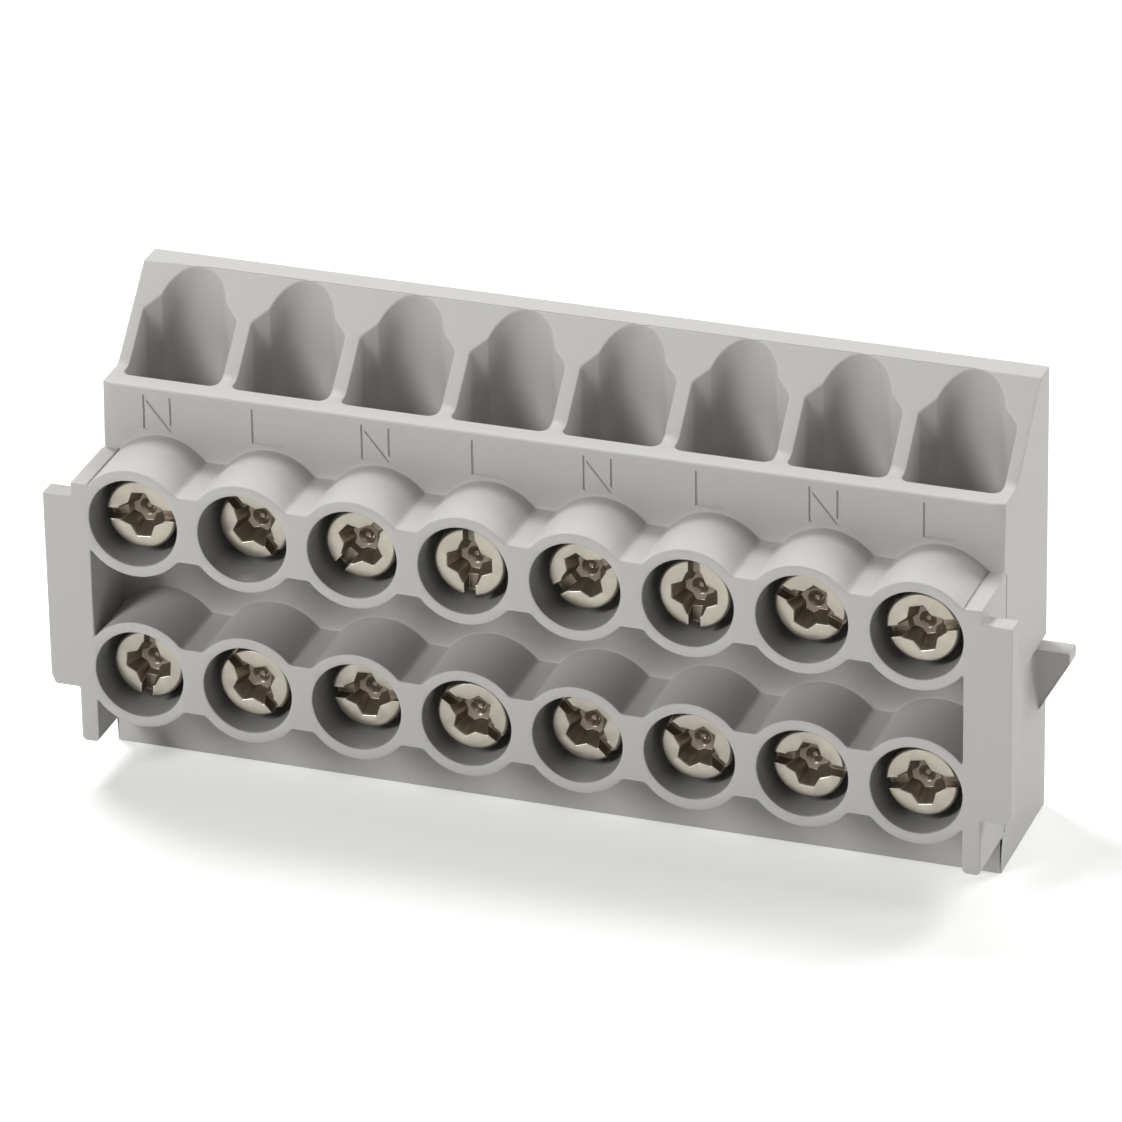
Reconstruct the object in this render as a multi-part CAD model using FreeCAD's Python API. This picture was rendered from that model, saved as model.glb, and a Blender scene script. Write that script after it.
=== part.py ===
"""Distribution terminal block with eight poles.

One moulded housing carries a row of eight upper and eight lower screw towers. Behind each pair of
towers a brass terminal stands in its own cavity. Wires come in from the sloped top and from below,
and each screw pushes a pressure plate against its wire.

X runs along the length, Y from the front to the back and Z up. The origin is the middle of the
footprint, on the surface that the block stands on. All sizes are in millimetres. In the functions
below, y is measured from the front of the towers, and export() moves the piece to the origin.
"""
import FreeCAD, Part
import math
import os

# Poles and rows
POLES = 8
PITCH = 11.0
ROW_SPACING = 16.0
LOWER_ROW_Z = 12.0

# Body behind the towers
DEPTH = 22.5
BODY_HEIGHT = 46.0
END_MARGIN = 5.95
LEDGE_DEPTH = 4.0
LEDGE_DROP = 7.6
TOP_STRIP = 2.9
SLOPE_FOOT_R = 1.5
EDGE_R = 0.3
FACET_WIDTH = 1.2
FACET_HEIGHT = 6.3
FACET_DEPTH = 0.35

# Screw towers and the webs between them
TOWER_LENGTH = 8.0
TOWER_WALL = 1.15
BORE_R = 4.4
WEB_HEIGHT = 6.8

# Columns at both ends of the rows, with their ears
COLUMN_WIDTH = 1.75
COLUMN_PROUD = 0.25
COLUMN_RISE = 3.5
COLUMN_DROP = 7.95
COLUMN_FOOT_CHAMFER = 0.3
EAR_REACH = 2.9
EAR_THICKNESS = 2.1
EAR_HEIGHT = 20.3
EAR_DROP = 1.45
EAR_CHAMFER_X = 0.4
EAR_CHAMFER_Z = 1.0

# Snap latches on the side walls
LATCH_REACH = 2.9
LATCH_TOP_Z = 17.5
LATCH_HEIGHT = 6.2
LATCH_LENGTH = 2.2
LATCH_TIP = 1.1
POCKET_DEPTH = 0.85
POCKET_LENGTH = 5.5
POCKET_OVER = 0.6

# Cavities, each for one terminal and its wires
CAVITY_WIDTH = 9.5
CAVITY_FRONT_WALL = 2.2
CAVITY_SQUARE_DEPTH = 6.0
CAVITY_CORNER_R = 0.9
CHANNEL_R = 3.45
SHOULDER_RISE = 1.1
CAVITY_FLOOR_DROP = 4.7
ENTRY_EXTRA = 0.3

# Slots that lighten the back wall between the channels
CORE_WIDTH = 2.4
CORE_DEPTH = 3.6
CORE_MARGIN_Z = 7.0

# Brass terminals
TERMINAL_CLEARANCE = 0.1
TERMINAL_RISE = 4.6
THREAD_WALL = 2.7
WIRE_WAY_WIDTH = 5.0

# Screws
THREAD_R = 2.0
THREAD_CLEARANCE = 0.05
HEAD_R = 3.5
HEAD_HEIGHT = 2.7
SLOT_WIDTH = 1.05
SLOT_DEPTH = 1.3
CROSS_REACH = 2.15
CROSS_WIDTH = 1.15
CROSS_DEPTH = 1.8
OPEN_DEPTH = 1.6

# Pressure plates
PLATE_THICKNESS = 1.0
PLATE_HEIGHT = 6.5
PLATE_SIDE_GAP = 0.35
PLATE_REST_GAP = 0.15
PLATE_CORNER = 0.7

# How far each driving slot is turned from level, in degrees, from the left end to the right
UPPER_SLOT_TURNS = (5, -50, 50, 90, 35, 90, -25, 15)
LOWER_SLOT_TURNS = (85, -50, 5, -35, -45, -35, -5, 10)

# How deep each head lies behind the towers' front, from OPEN_DEPTH when its screw is fully open
UPPER_HEAD_DEPTHS = (2.1, 3.2, 2.3, 1.8, 2.5, 1.9, 2.6, 1.7)
LOWER_HEAD_DEPTHS = (2.3, 1.7, 2.8, 1.6, 2.6, 2.1, 1.9, 1.7)

# Places that follow from the sizes above
BODY_LENGTH = PITCH * (POLES - 1) + 2 * END_MARGIN
SIDE_X = BODY_LENGTH / 2
TOWER_R = BORE_R + TOWER_WALL
UPPER_ROW_Z = LOWER_ROW_Z + ROW_SPACING
COLUMN_OUTER_X = SIDE_X + COLUMN_PROUD
COLUMN_INNER_X = COLUMN_OUTER_X - COLUMN_WIDTH
COLUMN_TOP_Z = UPPER_ROW_Z + COLUMN_RISE
COLUMN_FOOT_Z = LOWER_ROW_Z - COLUMN_DROP
CAVITY_FRONT_Y = TOWER_LENGTH + CAVITY_FRONT_WALL
CHANNEL_Y = CAVITY_FRONT_Y + CAVITY_SQUARE_DEPTH
CAVITY_FLOOR_Z = LOWER_ROW_Z - CAVITY_FLOOR_DROP
TERMINAL_TOP_Z = UPPER_ROW_Z + TERMINAL_RISE
WIRE_WAY_Y = CAVITY_FRONT_Y + TERMINAL_CLEARANCE + THREAD_WALL
PLATE_Y = WIRE_WAY_Y + PLATE_REST_GAP
PLATE_WIDTH = WIRE_WAY_WIDTH - 2 * PLATE_SIDE_GAP


def vector(x, y, z):
    return FreeCAD.Vector(x, y, z)


def box(x0, x1, y0, y1, z0, z1):
    """A block between two corners."""
    return Part.makeBox(x1 - x0, y1 - y0, z1 - z0, vector(x0, y0, z0))


def rod_y(x, z, radius, y0, y1):
    """A round rod along Y."""
    return Part.makeCylinder(radius, y1 - y0, vector(x, y0, z), vector(0, 1, 0))


def prism(points, direction):
    """A prism on a closed polygon."""
    outline = Part.makePolygon(points + [points[0]])
    return Part.Face(outline).extrude(direction)


def mirrored(shape):
    """The same piece on the other end of the block."""
    return shape.mirror(vector(0, 0, 0), vector(1, 0, 0))


def pole_x(pole):
    return (pole - (POLES - 1) / 2) * PITCH


def screw_axes():
    """X and z of every screw, row by row."""
    return [(pole_x(pole), z) for z in (UPPER_ROW_Z, LOWER_ROW_Z) for pole in range(POLES)]


def screw_settings():
    """Row name, pole number, x, z, slot turn and head depth of every screw."""
    rows = (("upper", UPPER_ROW_Z, UPPER_SLOT_TURNS, UPPER_HEAD_DEPTHS),
            ("lower", LOWER_ROW_Z, LOWER_SLOT_TURNS, LOWER_HEAD_DEPTHS))
    for row, z, turns, depths in rows:
        for pole in range(POLES):
            turn = turns[pole % len(turns)]
            depth = depths[pole % len(depths)]
            yield row, pole, pole_x(pole), z, turn, depth


def straight_edges_at(shape, tests):
    """Edges along X whose middle passes one of the (y, z) places."""
    found = []
    for edge in shape.Edges:
        ends = [vertex.Point for vertex in edge.Vertexes]
        if len(ends) < 2 or abs(ends[0].y - ends[1].y) > 1e-6 or abs(ends[0].z - ends[1].z) > 1e-6:
            continue
        for y, z in tests:
            if abs(ends[0].y - y) < 1e-6 and abs(ends[0].z - z) < 1e-6:
                found.append(edge)
    return found


def shell_block():
    """The long body with its top strip, slope and ledge, edges rounded."""
    front = TOWER_LENGTH
    ledge_z = BODY_HEIGHT - LEDGE_DROP
    foot = (front + LEDGE_DEPTH, ledge_z)
    top_front = (DEPTH - TOP_STRIP, BODY_HEIGHT)
    outline = [(front, 0), (DEPTH, 0), (DEPTH, BODY_HEIGHT), top_front, foot, (front, ledge_z)]
    block = prism([vector(-SIDE_X, y, z) for y, z in outline], vector(BODY_LENGTH, 0, 0))
    block = block.makeFillet(SLOPE_FOOT_R, straight_edges_at(block, [foot]))
    outer = [top_front, (DEPTH, BODY_HEIGHT), (front, ledge_z)]
    return block.makeFillet(EDGE_R, straight_edges_at(block, outer))


def end_facet():
    """The tapering facet cut from the right end of the face above the towers."""
    front = TOWER_LENGTH
    top = BODY_HEIGHT - LEDGE_DROP
    corner = vector(SIDE_X, front, top)
    cut = [vector(SIDE_X - FACET_WIDTH, front, top), vector(SIDE_X, front, top - FACET_HEIGHT),
           vector(SIDE_X, front + FACET_DEPTH, top)]
    middle = (cut[0] + cut[1] + cut[2]) * (1 / 3)
    return prism(cut, (corner - middle) * 2)


def column():
    """The right end's column with its ear, seen as one plate from the front."""
    x0 = COLUMN_INNER_X
    x1 = COLUMN_OUTER_X
    cut = COLUMN_FOOT_CHAMFER
    foot = COLUMN_FOOT_Z
    outline = [(x0 + cut, foot), (x1 - cut, foot), (x1, foot + cut), (x1, COLUMN_TOP_Z),
               (x0, COLUMN_TOP_Z), (x0, foot + cut)]
    post = prism([vector(x, 0, z) for x, z in outline], vector(0, TOWER_LENGTH, 0))
    ear_top = COLUMN_TOP_Z - EAR_DROP
    ear_foot = ear_top - EAR_HEIGHT
    tip = x1 + EAR_REACH
    edge = [(x0, ear_foot), (tip - EAR_CHAMFER_X, ear_foot), (tip, ear_foot + EAR_CHAMFER_Z),
            (tip, ear_top), (x0, ear_top)]
    ear = prism([vector(x, 0, z) for x, z in edge], vector(0, EAR_THICKNESS, 0))
    return post.fuse(ear)


def latch():
    """The right wall's snap latch: flat on top, with a ramp below."""
    foot = LATCH_TOP_Z - LATCH_HEIGHT
    tip = SIDE_X + LATCH_REACH
    root = SIDE_X - POCKET_DEPTH
    outline = [(root, foot), (SIDE_X, foot), (tip, LATCH_TOP_Z - LATCH_TIP), (tip, LATCH_TOP_Z),
               (root, LATCH_TOP_Z)]
    return prism([vector(x, DEPTH - LATCH_LENGTH, z) for x, z in outline], vector(0, LATCH_LENGTH, 0))


def latch_pocket():
    """The hollow round the right latch, deepest at its top edge."""
    top = LATCH_TOP_Z + POCKET_OVER
    foot = LATCH_TOP_Z - LATCH_HEIGHT
    outline = [(SIDE_X, foot), (SIDE_X, top), (SIDE_X - POCKET_DEPTH, top)]
    start = DEPTH - LATCH_LENGTH - POCKET_LENGTH
    return prism([vector(x, start, z) for x, z in outline], vector(0, DEPTH - start, 0))


def corner_edge(start, bend, end, is_round):
    """A plan's corner, as an arc through the bend or cut straight."""
    if is_round:
        return Part.Arc(start, bend, end).toShape()
    return Part.makeLine(start, end)


def cavity_plan(clearance, z0, z1, x, is_round):
    """The cavity's plan, square in front and round behind, as a prism from z0 to z1."""
    half = CAVITY_WIDTH / 2 - clearance
    radius = CHANNEL_R - clearance
    front = CAVITY_FRONT_Y + clearance
    side_y = CHANNEL_Y - clearance
    rise = SHOULDER_RISE
    meet_x = math.sqrt(radius ** 2 - rise ** 2)
    corner = CAVITY_CORNER_R
    bend = corner * (1 - math.sqrt(0.5))
    points = {
        "left_front": vector(x - half, front + corner, z0),
        "left_bend": vector(x - half + bend, front + bend, z0),
        "front_left": vector(x - half + corner, front, z0),
        "front_right": vector(x + half - corner, front, z0),
        "right_bend": vector(x + half - bend, front + bend, z0),
        "right_front": vector(x + half, front + corner, z0),
        "right_side": vector(x + half, side_y, z0),
        "right_meet": vector(x + meet_x, CHANNEL_Y + rise, z0),
        "back": vector(x, CHANNEL_Y + radius, z0),
        "left_meet": vector(x - meet_x, CHANNEL_Y + rise, z0),
        "left_side": vector(x - half, side_y, z0),
    }
    edges = [
        corner_edge(points["left_front"], points["left_bend"], points["front_left"], is_round),
        Part.makeLine(points["front_left"], points["front_right"]),
        corner_edge(points["front_right"], points["right_bend"], points["right_front"], is_round),
        Part.makeLine(points["right_front"], points["right_side"]),
        Part.makeLine(points["right_side"], points["right_meet"]),
        Part.Arc(points["right_meet"], points["back"], points["left_meet"]).toShape(),
        Part.makeLine(points["left_meet"], points["left_side"]),
        Part.makeLine(points["left_side"], points["left_front"]),
    ]
    return Part.Face(Part.Wire(edges)).extrude(vector(0, 0, z1 - z0))


def wire_way(extra, z0, z1, x):
    """The way for the wires, square in front and half round behind, as a prism from z0 to z1."""
    radius = WIRE_WAY_WIDTH / 2 + extra
    front = WIRE_WAY_Y - extra
    corners = [vector(x - radius, CHANNEL_Y, z0), vector(x - radius, front, z0),
               vector(x + radius, front, z0), vector(x + radius, CHANNEL_Y, z0)]
    edges = [Part.makeLine(corners[0], corners[1]), Part.makeLine(corners[1], corners[2]),
             Part.makeLine(corners[2], corners[3]),
             Part.Arc(corners[3], vector(x, CHANNEL_Y + radius, z0), corners[0]).toShape()]
    return Part.Face(Part.Wire(edges)).extrude(vector(0, 0, z1 - z0))


def back_core(x):
    """A slot in the back wall, between two channels."""
    half = CORE_WIDTH / 2
    top = BODY_HEIGHT - CORE_MARGIN_Z
    return box(x - half, x + half, DEPTH - CORE_DEPTH, DEPTH, CORE_MARGIN_Z, top)


def housing():
    """The moulded housing in one piece."""
    solids = []
    for z in (LOWER_ROW_Z, UPPER_ROW_Z):
        half = WEB_HEIGHT / 2
        solids.append(box(-COLUMN_INNER_X, COLUMN_INNER_X, 0, TOWER_LENGTH, z - half, z + half))
    solids += [rod_y(x, z, TOWER_R, 0, TOWER_LENGTH) for x, z in screw_axes()]
    end = column()
    hook = latch()
    hollow = latch_pocket()
    facet = end_facet()
    block = shell_block().cut([hollow, mirrored(hollow), facet, mirrored(facet)])
    block = block.multiFuse(solids + [end, mirrored(end), hook, mirrored(hook)])
    cuts = [rod_y(x, z, BORE_R, 0, CHANNEL_Y) for x, z in screw_axes()]
    cuts += [cavity_plan(0, CAVITY_FLOOR_Z, BODY_HEIGHT, pole_x(pole), True) for pole in range(POLES)]
    cuts += [wire_way(ENTRY_EXTRA, 0, CAVITY_FLOOR_Z, pole_x(pole)) for pole in range(POLES)]
    cuts += [back_core(pole_x(pole) + PITCH / 2) for pole in range(POLES - 1)]
    return block.cut(cuts).removeSplitter()


def terminal(pole):
    """A brass terminal, with its wire way and two threaded holes."""
    x = pole_x(pole)
    bar = cavity_plan(TERMINAL_CLEARANCE, CAVITY_FLOOR_Z, TERMINAL_TOP_Z, x, False)
    cuts = [wire_way(0, CAVITY_FLOOR_Z, TERMINAL_TOP_Z, x)]
    hole_r = THREAD_R + THREAD_CLEARANCE
    for z in (LOWER_ROW_Z, UPPER_ROW_Z):
        cuts.append(rod_y(x, z, hole_r, CAVITY_FRONT_Y, CHANNEL_Y))
    return bar.cut(cuts)


def driving_recess(top):
    """The slot across the head and the cross in its middle, cut from y = top."""
    half = SLOT_WIDTH / 2
    slot = box(-HEAD_R, HEAD_R, top, top + SLOT_DEPTH, -half, half)
    arm = CROSS_WIDTH / 2
    across = box(-CROSS_REACH, CROSS_REACH, top, top + CROSS_DEPTH, -arm, arm)
    along = box(-arm, arm, top, top + CROSS_DEPTH, -CROSS_REACH, CROSS_REACH)
    return slot.multiFuse([across, along])


def screw(x, z, turn, depth):
    """A cheese-head screw, turned and driven to its place, with its tip on the pressure plate."""
    under_head = OPEN_DEPTH + HEAD_HEIGHT
    head = rod_y(0, 0, HEAD_R, OPEN_DEPTH, under_head)
    shank = rod_y(0, 0, THREAD_R, under_head, PLATE_Y)
    solid = head.fuse(shank).cut(driving_recess(OPEN_DEPTH))
    solid.rotate(vector(0, 0, 0), vector(0, 1, 0), -turn)
    solid.translate(vector(x, depth - OPEN_DEPTH, z))
    return solid


def pressure_plate(x, z, depth):
    """A plate that slides in the wire way, pushed by the screw's tip."""
    half = PLATE_WIDTH / 2
    rise = PLATE_HEIGHT / 2
    plate = box(x - half, x + half, PLATE_Y, PLATE_Y + PLATE_THICKNESS, z - rise, z + rise)
    corners = [edge for edge in plate.Edges if abs(edge.tangentAt(edge.FirstParameter).y) > 0.5]
    plate = plate.makeChamfer(PLATE_CORNER, corners)
    plate.translate(vector(0, depth - OPEN_DEPTH, 0))
    return plate


def export(shape, name):
    """Moves a piece from the front plane to the origin and writes it."""
    shape.translate(vector(0, -DEPTH / 2, 0))
    if shape.ShapeType == "Compound" and len(shape.Solids) == 1:
        shape = shape.Solids[0]
    shape.exportStep("parts/" + name + ".step")
    print(name, "solids", len(shape.Solids), "valid", shape.isValid(), "volume", round(shape.Volume, 1))


def main():
    os.makedirs("parts", exist_ok=True)
    export(housing(), "housing")
    for pole in range(POLES):
        export(terminal(pole), "terminal_%d" % (pole + 1))
    for row, pole, x, z, turn, depth in screw_settings():
        export(screw(x, z, turn, depth), "%s_screw_%d" % (row, pole + 1))
        export(pressure_plate(x, z, depth), "%s_plate_%d" % (row, pole + 1))


main()
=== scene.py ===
"""Looks of a distribution terminal block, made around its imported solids.

X runs along the length, Y from the front to the back and Z up. The origin is the middle of the
footprint, on the surface that the block stands on. Sizes in the classes below are in millimetres,
and turned into metres by MM. Lamps and the floor are in metres, angles in degrees.
"""
import logging
import math
from dataclasses import dataclass, field
from enum import Enum
from typing import Any, Callable, Iterable, Optional, Union

import bmesh
import bpy
from mathutils import Matrix, Vector


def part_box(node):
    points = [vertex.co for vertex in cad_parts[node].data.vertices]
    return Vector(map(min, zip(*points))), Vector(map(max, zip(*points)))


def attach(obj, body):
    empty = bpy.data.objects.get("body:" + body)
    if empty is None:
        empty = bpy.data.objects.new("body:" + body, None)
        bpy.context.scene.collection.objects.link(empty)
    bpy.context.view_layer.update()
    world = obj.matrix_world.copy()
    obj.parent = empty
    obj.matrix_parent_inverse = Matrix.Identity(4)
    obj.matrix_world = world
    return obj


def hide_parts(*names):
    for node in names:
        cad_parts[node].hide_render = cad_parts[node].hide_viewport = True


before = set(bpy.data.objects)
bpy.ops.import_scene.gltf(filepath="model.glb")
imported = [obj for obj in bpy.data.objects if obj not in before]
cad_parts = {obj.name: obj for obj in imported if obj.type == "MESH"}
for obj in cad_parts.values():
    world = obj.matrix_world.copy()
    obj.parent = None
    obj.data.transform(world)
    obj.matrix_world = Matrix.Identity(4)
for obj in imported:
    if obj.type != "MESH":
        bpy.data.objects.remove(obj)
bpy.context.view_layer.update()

MM = 0.001
LOG = logging.getLogger("terminal_block")

Colour = tuple[float, float, float]
Point = tuple[float, float, float]
Outline = list[tuple[float, float]]
Link = Union[bpy.types.NodeSocket, float, int, tuple, str, bool, None]

WHITE = (1.0, 1.0, 1.0, 1.0)
FLOAT = "NodeSocketFloat"
VECTOR = "NodeSocketVector"
GEOMETRY = "NodeSocketGeometry"
MATERIAL = "NodeSocketMaterial"

# Attribute that keeps a screw's points in the screw's own frame, its face at y = 0.
OWN_PLACE = "own_place"

# Socket numbers of the Mix node, whose sockets share their names.
MIX_FACTOR = 0
MIX_NUMBERS = (2, 3)
MIX_COLOURS = (6, 7)
MIX_NUMBER_OUT = 0
MIX_COLOUR_OUT = 2

# How a copy of a CAD node is merged, rounded and shaded. Faces with more corners than
# BEVEL_CORNERS are cut into triangles before they are bevelled.
MERGE_DISTANCE = 0.002
FLAT_ANGLE = 0.5
BEVEL_ANGLE = 30.0
BEVEL_CORNERS = 4
SMOOTH_ANGLE = 35.0
FACE_WEIGHT = 100


class Row(Enum):
    """The two rows of screws, with the names that their nodes start with."""

    UPPER = "upper"
    LOWER = "lower"


class Slot(Enum):
    """Material slots of the record."""

    HOUSING = "housing"
    TERMINAL = "terminal"
    SCREW = "screw"
    PLATE = "plate"


class Mark(Enum):
    """Letters that mark the poles in turn."""

    NEUTRAL = "N"
    LINE = "L"


@dataclass
class Layout:
    """Places that the pieces share."""

    poles: int = 8
    pitch: float = 11.0
    row_spacing: float = 16.0
    lower_row_z: float = 12.0
    front_y: float = -11.25
    bore_zone_radius: float = 4.5
    bore_back_y: float = -1.2

    def pole_x(self, pole: int) -> float:
        """Where a pole's axis lies along X."""
        return (pole - (self.poles - 1) / 2) * self.pitch

    def row_z(self, row: Row) -> float:
        """How high a row of screws lies."""
        return self.lower_row_z + (self.row_spacing if row is Row.UPPER else 0.0)

    def end_x(self) -> float:
        """Where the rows end along X."""
        return self.poles / 2 * self.pitch


class Graph:
    """Adds nodes to a shader or geometry tree and links them."""

    def __init__(self, tree: bpy.types.NodeTree) -> None:
        """Keeps the tree.

        Args:
            tree: The node tree to work on.
        """
        self.tree = tree

    def add(self, kind: str, inputs: Optional[dict[Union[str, int], Any]] = None,
            **settings: Any) -> bpy.types.Node:
        """Adds one node.

        Args:
            kind: The node's type name.
            inputs: Values or sockets by input name or number. A list links several sockets.
            **settings: Properties of the node itself.

        Returns:
            The new node.
        """
        node = self.tree.nodes.new(kind)
        for name, value in settings.items():
            setattr(node, name, value)
        for name, value in (inputs or {}).items():
            self.feed(node.inputs[name], value)
        return node

    def feed(self, socket: bpy.types.NodeSocket, value: Any) -> None:
        """Links a socket or sets its value.

        Args:
            socket: The input.
            value: A socket, a list of sockets or a plain value.
        """
        if isinstance(value, list):
            for one in value:
                self.tree.links.new(one, socket)
        elif isinstance(value, bpy.types.NodeSocket):
            self.tree.links.new(value, socket)
        else:
            socket.default_value = value

    def math(self, operation: str, first: Link, second: Link = None, third: Link = None,
             clamp: bool = False) -> bpy.types.NodeSocket:
        """Adds a Math node.

        Args:
            operation: The node's operation.
            first: First value.
            second: Second value.
            third: Third value.
            clamp: Whether the result is kept between 0 and 1.

        Returns:
            The node's result.
        """
        values = {n: v for n, v in enumerate((first, second, third)) if v is not None}
        return self.add("ShaderNodeMath", values, operation=operation, use_clamp=clamp).outputs[0]

    def ramp(self, value: Link, low: float, high: float) -> bpy.types.NodeSocket:
        """Maps a value smoothly from 0 at low to 1 at high.

        Args:
            value: The value to map.
            low: Where the result is 0.
            high: Where the result is 1.

        Returns:
            The mapped value.
        """
        node = self.add("ShaderNodeMapRange", {"Value": value, "From Min": low, "From Max": high},
                        interpolation_type="SMOOTHSTEP")
        return node.outputs["Result"]

    def mix(self, factor: Link, first: Link, second: Link) -> bpy.types.NodeSocket:
        """Mixes two colours.

        Args:
            factor: 0 gives the first colour and 1 the second.
            first: First colour.
            second: Second colour.

        Returns:
            The mixed colour.
        """
        values = {MIX_FACTOR: factor, MIX_COLOURS[0]: first, MIX_COLOURS[1]: second}
        return self.add("ShaderNodeMix", values, data_type="RGBA").outputs[MIX_COLOUR_OUT]

    def blend(self, factor: Link, first: Link, second: Link) -> bpy.types.NodeSocket:
        """Mixes two numbers.

        Args:
            factor: 0 gives the first number and 1 the second.
            first: First number.
            second: Second number.

        Returns:
            The mixed number.
        """
        values = {MIX_FACTOR: factor, MIX_NUMBERS[0]: first, MIX_NUMBERS[1]: second}
        return self.add("ShaderNodeMix", values).outputs[MIX_NUMBER_OUT]

    def bump(self, height: Link, strength: float, distance: float) -> bpy.types.NodeSocket:
        """Adds a Bump node.

        Args:
            height: The height to follow.
            strength: The bump's strength.
            distance: How far a height of 1 stands out, in millimetres.

        Returns:
            The bumped normal.
        """
        values = {"Strength": strength, "Distance": distance * MM, "Height": height}
        return self.add("ShaderNodeBump", values).outputs["Normal"]


def new_group(name: str, kind: str, inputs: dict[str, str],
              outputs: dict[str, str]) -> tuple[Graph, bpy.types.Node, bpy.types.Node]:
    """Starts a node group with named sockets.

    Args:
        name: The group's name.
        kind: ShaderNodeTree or GeometryNodeTree.
        inputs: Socket types by input name.
        outputs: Socket types by output name.

    Returns:
        The graph, its input node and its output node.
    """
    tree = bpy.data.node_groups.new(name, kind)
    for label, socket_type in inputs.items():
        tree.interface.new_socket(label, in_out="INPUT", socket_type=socket_type)
    for label, socket_type in outputs.items():
        tree.interface.new_socket(label, in_out="OUTPUT", socket_type=socket_type)
    graph = Graph(tree)
    return graph, graph.add("NodeGroupInput"), graph.add("NodeGroupOutput")


def grain_group() -> bpy.types.NodeTree:
    """Fine grain with slow cloudy shifts of tone, for every finish.

    Returns:
        The shader group. Tone is about 1 and Height about 0.5.
    """
    graph, given, made = new_group(
        "fine_grain", "ShaderNodeTree",
        {"Place": VECTOR, "Grain Scale": FLOAT, "Cloud Scale": FLOAT, "Grain": FLOAT,
         "Cloud": FLOAT},
        {"Tone": FLOAT, "Height": FLOAT})
    noise_middle = 0.5
    fine = graph.add("ShaderNodeTexNoise", {
        "Vector": given.outputs["Place"], "Scale": given.outputs["Grain Scale"], "Detail": 3.0})
    slow = graph.add("ShaderNodeTexNoise", {
        "Vector": given.outputs["Place"], "Scale": given.outputs["Cloud Scale"], "Detail": 2.0})
    fine_part = graph.math("MULTIPLY", graph.math("SUBTRACT", fine.outputs["Fac"], noise_middle),
                           given.outputs["Grain"])
    slow_part = graph.math("MULTIPLY", graph.math("SUBTRACT", slow.outputs["Fac"], noise_middle),
                           given.outputs["Cloud"])
    tone = graph.math("ADD", graph.math("ADD", fine_part, slow_part), 1.0)
    graph.feed(made.inputs["Tone"], tone)
    graph.feed(made.inputs["Height"], fine.outputs["Fac"])
    return graph.tree


def bore_group(layout: Layout) -> bpy.types.NodeTree:
    """Mask of the screw bores' walls, found by the distance to the nearest bore's axis.

    Args:
        layout: Where the bores lie.

    Returns:
        The shader group. Mask is 1 in a bore.
    """
    pitch, spacing = layout.pitch, layout.row_spacing
    graph, given, made = new_group("bore_mask", "ShaderNodeTree", {"Place": VECTOR},
                                   {"Mask": FLOAT})
    parts = graph.add("ShaderNodeSeparateXYZ", {0: given.outputs["Place"]})
    across = graph.math("SUBTRACT", graph.math("FLOORED_MODULO", parts.outputs[0], pitch * MM),
                        pitch / 2 * MM)
    start = (layout.lower_row_z - spacing / 2) * MM
    up = graph.math("SUBTRACT", parts.outputs[2], start)
    in_rows = graph.math("LESS_THAN", graph.math("ABSOLUTE", graph.math(
        "SUBTRACT", up, spacing * MM)), spacing * MM)
    up = graph.math("SUBTRACT", graph.math("FLOORED_MODULO", up, spacing * MM), spacing / 2 * MM)
    away = graph.math("SQRT", graph.math("ADD", graph.math("MULTIPLY", across, across),
                                         graph.math("MULTIPLY", up, up)))
    inside = graph.math("LESS_THAN", away, layout.bore_zone_radius * MM)
    ahead = graph.math("LESS_THAN", parts.outputs[1], layout.bore_back_y * MM)
    along = graph.math("LESS_THAN", graph.math("ABSOLUTE", parts.outputs[0]), layout.end_x() * MM)
    mask = inside
    for limit in (in_rows, ahead, along):
        mask = graph.math("MULTIPLY", mask, limit)
    graph.feed(made.inputs["Mask"], mask)
    return graph.tree


@dataclass(frozen=True)
class ScrewZones:
    """Zones of a screw in its own frame, with depths taken behind the head's face."""

    head_radius: float = 3.5
    rim: float = 0.3
    recess_start: float = 0.04
    recess_full: float = 0.25
    pit_start: float = 1.9
    pit_full: float = 2.1
    ring_width: float = 0.16

    def group(self) -> bpy.types.NodeTree:
        """Masks of the recess, of the pit at its bottom and of the turned rings.

        Returns:
            The shader group. Recess, Rings and Pit go from 0 to 1.
        """
        graph, given, made = new_group("screw_zones", "ShaderNodeTree", {"Place": VECTOR},
                                       {"Recess": FLOAT, "Rings": FLOAT, "Pit": FLOAT})
        parts = graph.add("ShaderNodeSeparateXYZ", {0: given.outputs["Place"]})
        away = graph.math("SQRT", graph.math(
            "ADD", graph.math("MULTIPLY", parts.outputs[0], parts.outputs[0]),
            graph.math("MULTIPLY", parts.outputs[2], parts.outputs[2])))
        below = graph.ramp(parts.outputs[1], self.recess_start * MM, self.recess_full * MM)
        within = graph.math("LESS_THAN", away, (self.head_radius - self.rim) * MM)
        graph.feed(made.inputs["Recess"], graph.math("MULTIPLY", below, within))
        graph.feed(made.inputs["Pit"],
                   graph.ramp(parts.outputs[1], self.pit_start * MM, self.pit_full * MM))
        wave = graph.math("SINE", graph.math("MULTIPLY", away, math.tau / (self.ring_width * MM)))
        graph.feed(made.inputs["Rings"], graph.math("MULTIPLY_ADD", wave, 0.5, 0.5))
        return graph.tree


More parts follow.
